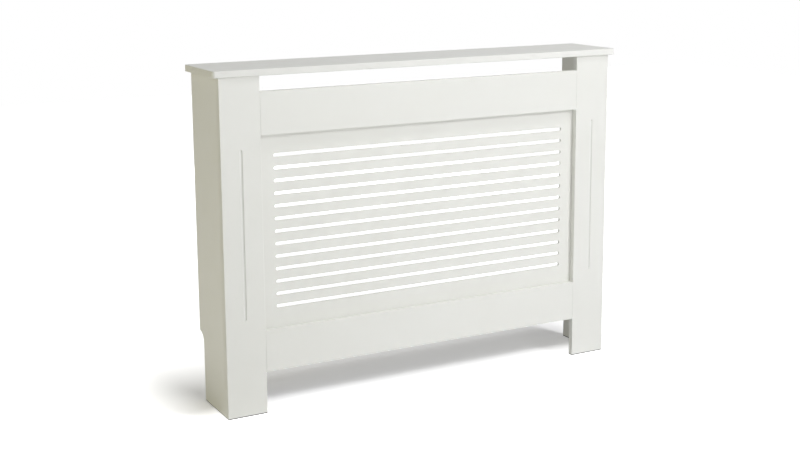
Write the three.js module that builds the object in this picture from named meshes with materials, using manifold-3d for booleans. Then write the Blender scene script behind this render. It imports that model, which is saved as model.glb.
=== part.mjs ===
// Radiator cover cabinet: a painted MDF box that stands on the floor against a wall, round a radiator.
// It is open at the back and below. Two legs with a fluted front, two rails and a slotted grille make
// the front, two side panels with a cut-out for the skirting board carry it, and a shelf lies on top.
// Cam locks and dowels hold the boards together, and two steel angles hold the cabinet to the wall.
//
// Millimetres. X runs to the right seen from the front, Y to the wall and Z up. The origin is on the
// floor, in the middle of the shelf's width and depth. "Left" is the side at negative X.
import * as THREE from "three";
import { mergeVertices } from "three/addons/utils/BufferGeometryUtils.js";
import Module from "manifold-3d";

const wasm = await Module();
wasm.setup();

// ---------------------------------------------------------------- driving dimensions

// Top shelf
const shelfWidth = 1115;
const shelfDepth = 190;
const shelfThickness = 16;
const shelfTopHeight = 824; // floor to the top of the shelf
const shelfSideOverhang = 16; // past the outer faces of the side panels
const shelfFrontOverhang = 7.5; // past the front faces of the pilasters
const shelfCornerRadius = 8; // in plan
const shelfEase = 1.5; // radius of the shelf's long edges

// Side panels
const sideThickness = 18;
const notchDepth = 26.5; // cut-out for the skirting board, from the rear edge
const notchHeight = 171; // from the floor
const notchRadius = 24; // inner corner of the cut-out

// Front frame
const frontThickness = 15; // pilasters and rails
const pilasterWidth = 99.5;
const ventGap = 36.5; // between the top rail and the shelf
const topRailHeight = 102;
const bottomRailHeight = 102;
const floorGap = 102.5; // under the bottom rail
const boardEase = 1; // radius of the edges of sides, pilasters and rails

// Flute routed into the middle of each pilaster
const fluteWidth = 7;
const fluteDepth = 3;
const fluteInset = 30; // from the rails' inner edges, seen in height

// Grille panel behind the frame
const grilleThickness = 6;
const grilleOverlap = 20; // behind the rails and pilasters
const slotCount = 13;
const slotPitch = 30.3;
const slotHeight = 8;
const slotEndMargin = 36.5; // from the pilasters' inner edges

// Cam locks and their bolts
const camRadius = 7.5;
const camDepth = 14;
const camDistance = 34; // from the joint to the cam's axis
const camCrossLength = 9;
const camCrossWidth = 1.6;
const camCrossDepth = 2.5;
const boltThreadRadius = 3;
const boltThreadLength = 11;
const boltShaftRadius = 3.2;
const boltNeckRadius = 1.9;
const boltNeckLength = 5;
const boltHeadRadius = 3.3;
const boltHeadLength = 3;
const pilasterCamInset = 105; // first and last cam, from the ends of the side panel's front edge
const shelfCamFrontInset = 32; // from the side panel's front edge
const shelfCamRearInset = 64; // from its rear edge

// Wooden dowels
const dowelRadius = 4;
const dowelLength = 30;
const dowelChamfer = 1;
const shelfDowelRise = 12; // the part of a dowel that stands in the shelf
const frameDowelReach = 10; // the part of a side panel's dowel that stands in the pilaster
const railDowelInset = 20; // from the rail's upper and lower edges

// Screws
const screwHeadHeight = 2.2;
const screwTipLength = 3;
const screwCrossWidth = 1;
const screwCrossDepth = 1.2;
const grilleScrewRadius = 1.5;
const grilleScrewLength = 14;
const grilleScrewHeadRadius = 3.2;
const grilleScrewSpacing = 300;
const bracketScrewRadius = 1.75;
const bracketScrewLength = 15;
const bracketScrewHeadRadius = 3.5;

// Wall brackets
const bracketLeg = 28;
const bracketWidth = 34; // in height
const bracketThickness = 2;
const bracketBendRadius = 3;
const bracketDrop = 90; // from the shelf's underside to the bracket's middle
const bracketScrewPitch = 18;
const wallHoleRadius = 2.75;

// Clearance round every fastener in its hole
const fitGap = 0.3;

// ---------------------------------------------------------------- derived places

const carcassHalfWidth = shelfWidth / 2 - shelfSideOverhang;
const sideInnerX = carcassHalfWidth - sideThickness;
const sideMiddleX = carcassHalfWidth - sideThickness / 2;
const openingHalfWidth = carcassHalfWidth - pilasterWidth;
const pilasterMiddleX = carcassHalfWidth - pilasterWidth / 2;
const rearY = shelfDepth / 2;
const frontY = -shelfDepth / 2 + shelfFrontOverhang;
const frameRearY = frontY + frontThickness;
const frameMiddleY = frontY + frontThickness / 2;
const grilleRearY = frameRearY + grilleThickness;
const boardTopZ = shelfTopHeight - shelfThickness;
const topRailTopZ = boardTopZ - ventGap;
const topRailBottomZ = topRailTopZ - topRailHeight;
const bottomRailTopZ = floorGap + bottomRailHeight;
const openingMiddleZ = (bottomRailTopZ + topRailBottomZ) / 2;

const X = new THREE.Vector3(1, 0, 0);
const Y = new THREE.Vector3(0, 1, 0);
const Z = new THREE.Vector3(0, 0, 1);
const SIDES = [
  { name: "left", sign: -1 },
  { name: "right", sign: 1 },
];

// ---------------------------------------------------------------- finishes

const paint = { color: 0xeeede6, roughness: 0.42, metalness: 0 };
const beech = { color: 0xcda874, roughness: 0.75, metalness: 0 };
const zinc = { color: 0xb4b6b8, roughness: 0.4, metalness: 0.9 };
const platedSteel = { color: 0xc9c9c6, roughness: 0.3, metalness: 1 };

// ---------------------------------------------------------------- solids and cuts

const MERGE = 1e-4;

function solidOf(geometry) {
  const bare = geometry.clone();
  bare.deleteAttribute("normal");
  bare.deleteAttribute("uv");
  const merged = mergeVertices(bare, MERGE);
  return new wasm.Manifold(
    new wasm.Mesh({
      numProp: 3,
      vertProperties: merged.attributes.position.array,
      triVerts: new Uint32Array(merged.index.array),
    }),
  );
}

function geometryOf(solid) {
  const { vertProperties, triVerts } = solid.getMesh();
  const indexed = new THREE.BufferGeometry();
  indexed.setAttribute("position", new THREE.BufferAttribute(vertProperties, 3));
  indexed.setIndex(new THREE.BufferAttribute(triVerts, 1));
  const geometry = indexed.toNonIndexed();
  geometry.computeVertexNormals();
  return geometry;
}

// The geometry less every tool, all in one frame.
function cut(geometry, tools) {
  const solid = tools.reduce((body, tool) => body.subtract(solidOf(tool)), solidOf(geometry));
  return geometryOf(solid);
}

// A solid of revolution about the local Y axis, from [radius, height] corners that end on the axis.
function turned(corners, segments) {
  const profile = corners.map(([radius, height]) => new THREE.Vector2(radius, height));
  return new THREE.LatheGeometry(profile, segments);
}

// A cylinder along the local Y axis between two heights.
function pin(radius, from, to, segments) {
  return new THREE.CylinderGeometry(radius, radius, to - from, segments).translate(0, (from + to) / 2, 0);
}

// The placement that carries the local Y axis onto a direction, with its origin at a point.
function along(point, direction) {
  const turn = new THREE.Quaternion().setFromUnitVectors(Y, direction);
  return new THREE.Matrix4().compose(point, turn, new THREE.Vector3(1, 1, 1));
}

function at(x, y, z) {
  return new THREE.Vector3(x, y, z);
}

// ---------------------------------------------------------------- boards

// A board of the given outline, with its edges rounded by ease, lying from z = 0 to its thickness.
function boardGeometry(outline, thickness, ease) {
  return new THREE.ExtrudeGeometry(outline, {
    depth: thickness - 2 * ease,
    bevelThickness: ease,
    bevelSize: ease,
    bevelOffset: -ease,
    bevelSegments: 2,
    curveSegments: 6,
  }).translate(0, 0, ease);
}

function rectangle(left, bottom, right, top) {
  return new THREE.Shape([
    new THREE.Vector2(left, bottom),
    new THREE.Vector2(right, bottom),
    new THREE.Vector2(right, top),
    new THREE.Vector2(left, top),
  ]);
}

// Boards are drawn flat and stood up: the front ones in X and Z, the side ones in Y and Z.
const standFront = new THREE.Matrix4().makeBasis(X, Z, Y.clone().negate());
const standSide = new THREE.Matrix4().makeBasis(Y, Z, X);

// Each board keeps the holes that its fasteners make in it until it is cut.
const boards = new Map();

function addBoard(name, geometry, place) {
  boards.set(name, { geometry, place, holes: [] });
}

function shelfOutline() {
  const x = shelfWidth / 2;
  const y = shelfDepth / 2;
  const r = shelfCornerRadius;
  return new THREE.Shape()
    .moveTo(-x + r, -y)
    .lineTo(x - r, -y)
    .absarc(x - r, -y + r, r, -Math.PI / 2, 0)
    .lineTo(x, y - r)
    .absarc(x - r, y - r, r, 0, Math.PI / 2)
    .lineTo(-x + r, y)
    .absarc(-x + r, y - r, r, Math.PI / 2, Math.PI)
    .lineTo(-x, -y + r)
    .absarc(-x + r, -y + r, r, Math.PI, 1.5 * Math.PI);
}

// The side panel in Y and Z, with the cut-out that lets it pass over the skirting board.
function sideOutline() {
  const notchY = rearY - notchDepth;
  return new THREE.Shape()
    .moveTo(frameRearY, 0)
    .lineTo(notchY, 0)
    .lineTo(notchY, notchHeight - notchRadius)
    .absarc(notchY + notchRadius, notchHeight - notchRadius, notchRadius, Math.PI, Math.PI / 2, true)
    .lineTo(rearY, notchHeight)
    .lineTo(rearY, boardTopZ)
    .lineTo(frameRearY, boardTopZ);
}

addBoard(
  "top_shelf",
  boardGeometry(shelfOutline(), shelfThickness, shelfEase),
  new THREE.Matrix4().makeTranslation(0, 0, boardTopZ),
);

for (const { name, sign } of SIDES) {
  const nearFace = sign > 0 ? sideInnerX : -carcassHalfWidth;
  addBoard(
    "side_panel_" + name,
    boardGeometry(sideOutline(), sideThickness, boardEase),
    standSide.clone().setPosition(nearFace, 0, 0),
  );
  addBoard(
    "pilaster_" + name,
    boardGeometry(
      rectangle(-pilasterWidth / 2, 0, pilasterWidth / 2, boardTopZ),
      frontThickness,
      boardEase,
    ),
    standFront.clone().setPosition(sign * pilasterMiddleX, frameRearY, 0),
  );
}

for (const [name, bottom, height] of [
  ["top_rail", topRailBottomZ, topRailHeight],
  ["bottom_rail", floorGap, bottomRailHeight],
]) {
  addBoard(
    name,
    boardGeometry(rectangle(-openingHalfWidth, 0, openingHalfWidth, height), frontThickness, boardEase),
    standFront.clone().setPosition(0, frameRearY, bottom),
  );
}

// ---------------------------------------------------------------- flutes

// A ball-nosed cutter leaves a round channel with round ends: its radius follows from the width and depth.
const fluteRadius = (fluteWidth ** 2 / 4 + fluteDepth ** 2) / (2 * fluteDepth);
const fluteLength = topRailBottomZ - bottomRailTopZ - 2 * fluteInset;

for (const { name, sign } of SIDES) {
  const cutterPath = new THREE.CapsuleGeometry(fluteRadius, fluteLength - fluteWidth, 5, 20);
  const axis = at(sign * pilasterMiddleX, frontY - fluteRadius + fluteDepth, openingMiddleZ);
  boards.get("pilaster_" + name).holes.push(cutterPath.applyMatrix4(along(axis, Z)));
}

// ---------------------------------------------------------------- grille panel

// A slot with round ends, centred on a height.
function slotOutline(halfLength, height) {
  const r = slotHeight / 2;
  return new THREE.Path()
    .moveTo(-halfLength + r, height - r)
    .lineTo(halfLength - r, height - r)
    .absarc(halfLength - r, height, r, -Math.PI / 2, Math.PI / 2)
    .lineTo(-halfLength + r, height + r)
    .absarc(-halfLength + r, height, r, Math.PI / 2, 1.5 * Math.PI);
}

function grilleGeometry() {
  const halfWidth = openingHalfWidth + grilleOverlap;
  const halfHeight = (topRailBottomZ - bottomRailTopZ) / 2 + grilleOverlap;
  const outline = rectangle(-halfWidth, -halfHeight, halfWidth, halfHeight);
  for (let i = 0; i < slotCount; i++) {
    const height = (i - (slotCount - 1) / 2) * slotPitch;
    outline.holes.push(slotOutline(openingHalfWidth - slotEndMargin, height));
  }
  return new THREE.ExtrudeGeometry(outline, {
    depth: grilleThickness,
    bevelEnabled: false,
    curveSegments: 6,
  });
}

addBoard(
  "grille_panel",
  grilleGeometry(),
  standFront.clone().setPosition(0, grilleRearY, openingMiddleZ),
);

// ---------------------------------------------------------------- fasteners

const fasteners = new THREE.Group();

// A fastener in its place, and the hole for it in each board that it passes through.
function seat(name, geometry, finish, place, holes) {
  const mesh = new THREE.Mesh(geometry, new THREE.MeshStandardMaterial(finish));
  mesh.name = name;
  mesh.applyMatrix4(place);
  fasteners.add(mesh);
  for (const [board, tool] of holes) {
    boards.get(board).holes.push(tool.clone().applyMatrix4(place));
  }
}

// Cam bolt: Y runs from the joint towards the cam, and the thread stands in the other board.
const camSegments = 18;
const boltSegments = 10;
const boltShaftEnd = camDistance - boltHeadLength - boltNeckLength;
const boltGeometry = turned(
  [
    [0, -boltThreadLength],
    [boltThreadRadius / 2, -boltThreadLength],
    [boltThreadRadius, -boltThreadLength + boltThreadRadius / 2],
    [boltThreadRadius, 0],
    [boltShaftRadius, 0],
    [boltShaftRadius, boltShaftEnd],
    [boltNeckRadius, boltShaftEnd],
    [boltNeckRadius, boltShaftEnd + boltNeckLength],
    [boltHeadRadius, boltShaftEnd + boltNeckLength],
    [boltHeadRadius, camDistance],
    [0, camDistance],
  ],
  boltSegments,
);
const boltThreadHole = pin(boltThreadRadius + fitGap, -boltThreadLength - fitGap, fitGap, boltSegments);
const boltShaftHole = pin(boltShaftRadius + fitGap, -fitGap, camDistance, boltSegments);

// Cam: its axis is Y, from the closed back to the face with the cross, and the bolt enters from +X.
const camHole = pin(camRadius + fitGap, -camDepth - fitGap, fitGap, camSegments);

function camGeometry(boltDepth) {
  const headRoom = boltHeadRadius + fitGap;
  const neckRoom = boltNeckRadius + fitGap;
  const headPocket = pocket(-fitGap, boltHeadLength + fitGap, headRoom, boltDepth);
  const neckPocket = pocket(0, camRadius + fitGap, neckRoom, boltDepth);
  const cross = [
    new THREE.BoxGeometry(camCrossLength, camCrossDepth, camCrossWidth),
    new THREE.BoxGeometry(camCrossWidth, camCrossDepth, camCrossLength),
  ].map((slot) => slot.translate(0, -camCrossDepth / 2 + fitGap, 0));
  return cut(pin(camRadius, -camDepth, 0, camSegments), [headPocket, neckPocket, ...cross]);
}

// A pocket in the cam from its back up to just past the bolt's axis, between two distances along X.
function pocket(from, to, room, boltDepth) {
  const bottom = -camDepth - fitGap;
  const top = -boltDepth + room;
  return new THREE.BoxGeometry(to - from, top - bottom, 2 * room).translate(
    (from + to) / 2,
    (top + bottom) / 2,
    0,
  );
}

// A cam joint: a bolt that stands in one board and a cam in the inner face of a side panel.
function camJoint(label, joint, intoPanel, side, threadBoard) {
  const panel = "side_panel_" + side.name;
  const camAxis = joint.clone().addScaledVector(intoPanel, camDistance);
  camAxis.x = side.sign * sideInnerX;
  const inward = X.clone().multiplyScalar(-side.sign);
  const toJoint = intoPanel.clone().negate();
  const camPlace = new THREE.Matrix4()
    .makeBasis(toJoint, inward, toJoint.clone().cross(inward))
    .setPosition(camAxis);
  seat(label.replace("#", "bolt"), boltGeometry, platedSteel, along(joint, intoPanel), [
    [threadBoard, boltThreadHole],
    [panel, boltShaftHole],
  ]);
  seat(label.replace("#", "lock"), camGeometry(sideThickness / 2), zinc, camPlace, [[panel, camHole]]);
}

// Dowel: Y runs along it, from the joint.
const dowelSegments = 12;

function dowelGeometry(below) {
  const above = dowelLength - below;
  return turned(
    [
      [0, -below],
      [dowelRadius - dowelChamfer, -below],
      [dowelRadius, -below + dowelChamfer],
      [dowelRadius, above - dowelChamfer],
      [dowelRadius - dowelChamfer, above],
      [0, above],
    ],
    dowelSegments,
  );
}

// A dowel across a joint: it reaches below it into one board and above it into the other.
function dowelJoint(name, joint, direction, below, lowerBoard, upperBoard) {
  const above = dowelLength - below;
  const hole = pin(dowelRadius + fitGap, -below - fitGap, above + fitGap, dowelSegments);
  seat(name, dowelGeometry(below), beech, along(joint, direction), [
    [lowerBoard, hole],
    [upperBoard, hole],
  ]);
}

// Pan-head screw: Y runs from the tip to the head, and the head's underside is at 0.
const screwSegments = 10;

function screwGeometry(radius, length, headRadius) {
  const body = turned(
    [
      [0, -length],
      [radius, -length + screwTipLength],
      [radius, 0],
      [headRadius, 0],
      [headRadius, screwHeadHeight / 2],
      [headRadius * 0.8, screwHeadHeight * 0.85],
      [headRadius * 0.4, screwHeadHeight],
      [0, screwHeadHeight],
    ],
    screwSegments,
  );
  const cross = [
    new THREE.BoxGeometry(headRadius, screwCrossDepth, screwCrossWidth),
    new THREE.BoxGeometry(screwCrossWidth, screwCrossDepth, headRadius),
  ].map((slot) => slot.translate(0, screwHeadHeight - screwCrossDepth / 2 + fitGap, 0));
  return cut(body, cross);
}

function screwHole(radius, length) {
  return pin(radius + fitGap, -length - fitGap, fitGap, screwSegments);
}

// ---------------------------------------------------------------- joints between the boards

for (const side of SIDES) {
  const { name, sign } = side;
  const panel = "side_panel_" + name;
  const pilaster = "pilaster_" + name;
  const edgeX = sign * sideMiddleX;

  // Side panel to pilaster: cams at both ends and in the middle, and a dowel between each two.
  const camHeights = [pilasterCamInset, boardTopZ / 2, boardTopZ - pilasterCamInset];
  camHeights.forEach((height, i) => {
    camJoint(`pilaster_cam_#_${name}_${i + 1}`, at(edgeX, frameRearY, height), Y, side, pilaster);
  });
  camHeights.slice(1).forEach((height, i) => {
    const middle = (height + camHeights[i]) / 2;
    const joint = at(edgeX, frameRearY, middle);
    dowelJoint(`side_dowel_${name}_${i + 1}`, joint, Y, frameDowelReach, pilaster, panel);
  });

  // Shelf to side panel: a cam near each edge and a dowel between them.
  const down = Z.clone().negate();
  const frontCamY = frameRearY + shelfCamFrontInset;
  const rearCamY = rearY - shelfCamRearInset;
  for (const [end, y] of [
    ["front", frontCamY],
    ["rear", rearCamY],
  ]) {
    camJoint(`shelf_cam_#_${name}_${end}`, at(edgeX, y, boardTopZ), down, side, "top_shelf");
  }
  const shelfDowelAt = at(edgeX, (frontCamY + rearCamY) / 2, boardTopZ);
  dowelJoint(`shelf_dowel_${name}_side`, shelfDowelAt, down, shelfDowelRise, "top_shelf", panel);

  // Shelf to pilaster: one dowel in the pilaster's end.
  const pilasterEnd = at(sign * pilasterMiddleX, frameMiddleY, boardTopZ);
  dowelJoint(`shelf_dowel_${name}_front`, pilasterEnd, down, shelfDowelRise, "top_shelf", pilaster);

  // Rails to pilaster: two dowels in each rail's end.
  const outward = X.clone().multiplyScalar(sign);
  for (const [rail, bottom, top] of [
    ["top_rail", topRailBottomZ, topRailTopZ],
    ["bottom_rail", floorGap, bottomRailTopZ],
  ]) {
    [bottom + railDowelInset, top - railDowelInset].forEach((height, i) => {
      const joint = at(sign * openingHalfWidth, frameMiddleY, height);
      dowelJoint(`${rail}_dowel_${name}_${i + 1}`, joint, outward, dowelLength / 2, rail, pilaster);
    });
  }
}

// ---------------------------------------------------------------- grille screws

const grilleScrewInset = grilleOverlap / 2;
const grilleScrew = screwGeometry(grilleScrewRadius, grilleScrewLength, grilleScrewHeadRadius);
const grilleScrewHole = screwHole(grilleScrewRadius, grilleScrewLength);
const grilleScrewPlaces = [
  ...[-1, 0, 1].map((i) => [i * grilleScrewSpacing, topRailBottomZ + grilleScrewInset, "top_rail"]),
  ...[-1, 0, 1].map((i) => [i * grilleScrewSpacing, bottomRailTopZ - grilleScrewInset, "bottom_rail"]),
  ...SIDES.map(({ name, sign }) => [
    sign * (openingHalfWidth + grilleScrewInset),
    openingMiddleZ,
    "pilaster_" + name,
  ]),
];

grilleScrewPlaces.forEach(([x, z, board], i) => {
  seat(`grille_screw_${i + 1}`, grilleScrew, platedSteel, along(at(x, grilleRearY, z), Y), [
    ["grille_panel", grilleScrewHole],
    [board, grilleScrewHole],
  ]);
});

// ---------------------------------------------------------------- wall brackets

const bracketMiddleZ = boardTopZ - bracketDrop;
const bracketScrew = screwGeometry(bracketScrewRadius, bracketScrewLength, bracketScrewHeadRadius);
const bracketScrewHole = screwHole(bracketScrewRadius, bracketScrewLength);

// The bent strip seen from above: one leg on the side panel (+X), the other flat to the wall (+Y).
function bracketOutline() {
  const t = bracketThickness;
  const r = bracketBendRadius;
  const inner = r - t;
  return new THREE.Shape()
    .moveTo(-bracketLeg, -t)
    .lineTo(-r, -t)
    .absarc(-r, -r, inner, Math.PI / 2, 0, true)
    .lineTo(-t, -bracketLeg)
    .lineTo(0, -bracketLeg)
    .lineTo(0, -r)
    .absarc(-r, -r, r, 0, Math.PI / 2)
    .lineTo(-bracketLeg, 0);
}

function bracketGeometry() {
  const strip = new THREE.ExtrudeGeometry(bracketOutline(), {
    depth: bracketWidth,
    bevelEnabled: false,
    curveSegments: 5,
  }).translate(0, 0, -bracketWidth / 2);
  const middle = -(bracketLeg + bracketBendRadius) / 2;
  const screwHoles = [-1, 1].map((end) =>
    pin(bracketScrewRadius + fitGap, -bracketThickness - 1, 1, camSegments)
      .applyMatrix4(along(at(0, middle, (end * bracketScrewPitch) / 2), X)),
  );
  const wallHole = pin(wallHoleRadius, -bracketThickness - 1, 1, camSegments).translate(middle, 0, 0);
  return cut(strip, [...screwHoles, wallHole]);
}

for (const { name, sign } of SIDES) {
  // The left bracket is the right one turned upside down, about the Y axis.
  const bracket = new THREE.Mesh(bracketGeometry(), new THREE.MeshStandardMaterial(platedSteel));
  bracket.name = "wall_bracket_" + name;
  bracket.position.set(sign * sideInnerX, rearY, bracketMiddleZ);
  bracket.rotation.y = sign > 0 ? 0 : Math.PI;
  fasteners.add(bracket);
  const headX = sign * (sideInnerX - bracketThickness);
  const screwY = rearY - (bracketLeg + bracketBendRadius) / 2;
  const inward = X.clone().multiplyScalar(-sign);
  [-1, 1].forEach((end, i) => {
    const head = at(headX, screwY, bracketMiddleZ + (end * bracketScrewPitch) / 2);
    seat(`bracket_screw_${name}_${i + 1}`, bracketScrew, platedSteel, along(head, inward), [
      ["side_panel_" + name, bracketScrewHole],
    ]);
  });
}

// ---------------------------------------------------------------- the cabinet

// Each board is cut in its own flat frame, so its holes are carried there first.
function boardMesh(name, { geometry, place, holes }) {
  const home = place.clone().invert();
  const tools = holes.map((hole) => hole.applyMatrix4(home));
  const mesh = new THREE.Mesh(cut(geometry, tools), new THREE.MeshStandardMaterial(paint));
  mesh.name = name;
  mesh.applyMatrix4(place);
  return mesh;
}

const carcass = new THREE.Group();
for (const [name, board] of boards) {
  carcass.add(boardMesh(name, board));
}

const cabinet = new THREE.Group();
cabinet.add(carcass, fasteners);

export default cabinet;
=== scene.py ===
import math

import bmesh
import bpy
from mathutils import Matrix, Vector


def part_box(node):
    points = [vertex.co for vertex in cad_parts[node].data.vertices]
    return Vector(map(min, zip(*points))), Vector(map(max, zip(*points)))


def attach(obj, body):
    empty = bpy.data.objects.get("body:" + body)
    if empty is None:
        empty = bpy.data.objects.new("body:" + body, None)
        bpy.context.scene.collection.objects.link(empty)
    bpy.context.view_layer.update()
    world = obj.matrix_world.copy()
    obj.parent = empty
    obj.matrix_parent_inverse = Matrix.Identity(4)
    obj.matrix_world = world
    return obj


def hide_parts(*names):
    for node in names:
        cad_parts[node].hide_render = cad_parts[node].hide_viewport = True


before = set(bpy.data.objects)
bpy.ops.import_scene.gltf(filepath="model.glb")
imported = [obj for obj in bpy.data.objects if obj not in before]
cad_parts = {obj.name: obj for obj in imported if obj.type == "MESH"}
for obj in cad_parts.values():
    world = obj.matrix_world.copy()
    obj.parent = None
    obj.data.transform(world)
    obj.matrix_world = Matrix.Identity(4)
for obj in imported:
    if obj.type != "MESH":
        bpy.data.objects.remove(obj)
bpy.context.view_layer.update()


# ---------------------------------------------------------------- side panels
#
# Two MDF boards from the floor to the shelf, sawn to their outline with a rounded cut-out for the
# skirting board, bored on the inner face for the cam locks, eased along every edge and sprayed
# with satin paint. Cam bolts and dowels hold them to the pilasters in front and the shelf on top.

MM = 0.001
X, Y, Z = range(3)
NOTCH_DEPTH = 26.5 * MM
NOTCH_HEIGHT = 171 * MM
NOTCH_RADIUS = 24 * MM
BOARD_EASE = 1.1 * MM
BOARD_EASE_STEPS = 4
BOARD_EASE_FROM = 30
CAM_RADIUS = 7.5 * MM
CAM_DEPTH = 14 * MM
CAM_CLEARANCE = 0.3 * MM
ARC_STEPS = 14
BORE_SIDES = 48
BORE_LEAD = 1 * MM
FLAT_FACE_WEIGHT = 100
PAINT = (0.835, 0.838, 0.806, 1)
PAINT_SHADE = (0.818, 0.820, 0.782, 1)
SAWN_PAINT = (0.834, 0.836, 0.806, 1)
# Painted contact shadow: a near-black band along the boards' foot, where they meet the floor.
FOOT_CONTACT_SHADOW = (0.07, 0.068, 0.062, 1)
FOOT_SHADOW_HEIGHT = 2.4 * MM
PEEL_SCALE = 620
PEEL_HEIGHT = 0.06 * MM
DRIFT_SCALE = 5
SHEEN_SCALE = 38
SHEEN_ROUGHNESS = (0.36, 0.45)
SAWN_DRYNESS = 0.12
FLOW_SCALE = 110
FLOW_SHARE = 2
FIBRE_SCALE = 1900
FIBRE_SHARE = 1.6
NOISE_LOW = 0.3
NOISE_HIGH = 0.7
MIX_FIRST_COLOUR = 6
MIX_SECOND_COLOUR = 7
MIX_RESULT_COLOUR = 2


def feed(tree, socket, value):
    """Joins an input to another node's output, or gives it a value of its own."""
    if isinstance(value, bpy.types.NodeSocket):
        tree.links.new(value, socket)
    else:
        socket.default_value = value


def add_node(tree, kind, inputs=None, **settings):
    """Adds a node. An input takes a value, an output, or a list of outputs where it joins several."""
    node = tree.nodes.new(kind)
    for name, value in settings.items():
        setattr(node, name, value)
    for name, value in (inputs or {}).items():
        for source in value if isinstance(value, list) else [value]:
            feed(tree, node.inputs[name], source)
    return node


def noise(tree, place, scale, detail):
    return add_node(
        tree,
        "ShaderNodeTexNoise",
        {"Vector": place, "Scale": scale, "Detail": detail},
    ).outputs["Fac"]


def spread(tree, value, low, high):
    """Carries a noise's middle range to run from low to high."""
    return add_node(
        tree,
        "ShaderNodeMapRange",
        {"Value": value, "From Min": NOISE_LOW, "From Max": NOISE_HIGH, "To Min": low, "To Max": high},
    ).outputs["Result"]


def calculate(tree, operation, first, second):
    node = add_node(tree, "ShaderNodeMath", {0: first, 1: second}, operation=operation)
    return node.outputs["Value"]


def blend_colours(tree, factor, first, second):
    colours = {"Factor": factor, MIX_FIRST_COLOUR: first, MIX_SECOND_COLOUR: second}
    return add_node(tree, "ShaderNodeMix", colours, data_type="RGBA").outputs[MIX_RESULT_COLOUR]


def start_material(name):
    """A new material, with its node tree and its surface node."""
    material = bpy.data.materials.new(name)
    material.use_nodes = True
    tree = material.node_tree
    return material, tree, tree.nodes["Principled BSDF"]


def shade_relief(tree, surface, height):
    """Shades a surface as if it rose and fell by a height in metres."""
    relief = add_node(tree, "ShaderNodeBump", {"Height": height, "Strength": 1, "Distance": 1})
    feed(tree, surface.inputs["Normal"], relief.outputs["Normal"])


def satin_paint(name, colour, shade, peel_scale, peel_height):
    """Satin paint on MDF: drifting tone, orange peel, a drier coat on sawn edges and a painted contact
    shadow at the foot.
    """
    material, tree, surface = start_material(name)
    place = add_node(tree, "ShaderNodeTexCoord").outputs["Object"]
    sawn = add_node(tree, "ShaderNodeAttribute", attribute_name="sawn_edge").outputs["Fac"]

    drift = spread(tree, noise(tree, place, DRIFT_SCALE, detail=3), 0, 1)
    coat = blend_colours(tree, drift, colour, shade)
    edged = blend_colours(tree, sawn, coat, SAWN_PAINT)
    # Painted shade: below a few millimetres the boards turn near-black, a contact shadow at the floor.
    level = add_node(tree, "ShaderNodeSeparateXYZ", {"Vector": place}).outputs["Z"]
    foot_shadow = calculate(tree, "LESS_THAN", level, FOOT_SHADOW_HEIGHT)
    feed(tree, surface.inputs["Base Color"], blend_colours(tree, foot_shadow, edged, FOOT_CONTACT_SHADOW))

    sheen = spread(tree, noise(tree, place, SHEEN_SCALE, detail=4), *SHEEN_ROUGHNESS)
    drier = calculate(tree, "MULTIPLY", sawn, SAWN_DRYNESS)
    feed(tree, surface.inputs["Roughness"], calculate(tree, "ADD", sheen, drier))

    peel = calculate(tree, "MULTIPLY", noise(tree, place, peel_scale, detail=2), peel_height)
    flow_noise = noise(tree, place, FLOW_SCALE, detail=2)
    flow = calculate(tree, "MULTIPLY", flow_noise, peel_height * FLOW_SHARE)
    fibre_noise = noise(tree, place, FIBRE_SCALE, detail=4)
    fibre = calculate(tree, "MULTIPLY", fibre_noise, peel_height * FIBRE_SHARE)
    raised = calculate(tree, "MULTIPLY", fibre, sawn)
    coat_height = calculate(tree, "ADD", peel, flow)
    shade_relief(tree, surface, calculate(tree, "ADD", coat_height, raised))
    return material


def arc(centre, radius, start, end, steps=ARC_STEPS):
    """Points round a centre, from one angle to another in degrees, both ends included."""
    turns = [math.radians(start + (end - start) * i / steps) for i in range(steps + 1)]
    return [(centre[0] + radius * math.cos(t), centre[1] + radius * math.sin(t)) for t in turns]


def show(name, mesh):
    piece = bpy.data.objects.new(name, mesh)
    bpy.context.scene.collection.objects.link(piece)
    return piece


def show_shape(name, shape):
    """Gives a bmesh's shape a mesh and an object of its own."""
    mesh = bpy.data.meshes.new(name)
    shape.to_mesh(mesh)
    shape.free()
    return show(name, mesh)


def board(name, outline, across, near, far):
    """A flat board between two planes across an axis, its outline given along the other two axes."""
    shape = bmesh.new()
    sawn = shape.faces.layers.float.new("sawn_edge")
    rings = []
    for level in (near, far):
        ring = []
        for pair in outline:
            place = list(pair)
            place.insert(across, level)
            ring.append(shape.verts.new(place))
        rings.append(ring)
        shape.faces.new(ring)
    for i in range(len(outline)):
        corners = (rings[0][i - 1], rings[0][i], rings[1][i], rings[1][i - 1])
        shape.faces.new(corners)[sawn] = 1
    bmesh.ops.recalc_face_normals(shape, faces=shape.faces)
    return show_shape(name, shape)


def bore(places, axis, radius, depth):
    """One cutter for a row of round holes, each from just outside its place and along the axis."""
    shape = bmesh.new()
    turn = Vector((0, 0, 1)).rotation_difference(Vector(axis)).to_matrix().to_4x4()
    for place in places:
        middle = Matrix.Translation(Vector(place) + Vector(axis) * (depth - BORE_LEAD) / 2)
        bmesh.ops.create_cone(
            shape,
            cap_ends=True,
            segments=BORE_SIDES,
            radius1=radius,
            radius2=radius,
            depth=depth + BORE_LEAD,
            matrix=middle @ turn,
        )
    return show_shape("cutter", shape)


def settle(piece):
    """Makes what the modifiers show the piece's own plain mesh."""
    graph = bpy.context.evaluated_depsgraph_get()
    shown = piece.evaluated_get(graph)
    mesh = bpy.data.meshes.new_from_object(shown, preserve_all_data_layers=True, depsgraph=graph)
    piece.modifiers.clear()
    piece.data = mesh


def ease(piece, width, steps, sharper_than):
    """Rounds the edges that turn by more than an angle in degrees."""
    rounding = piece.modifiers.new("ease", "BEVEL")
    rounding.width = width
    rounding.segments = steps
    rounding.limit_method = "ANGLE"
    rounding.angle_limit = math.radians(sharper_than)
    rounding.use_clamp_overlap = False


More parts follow.
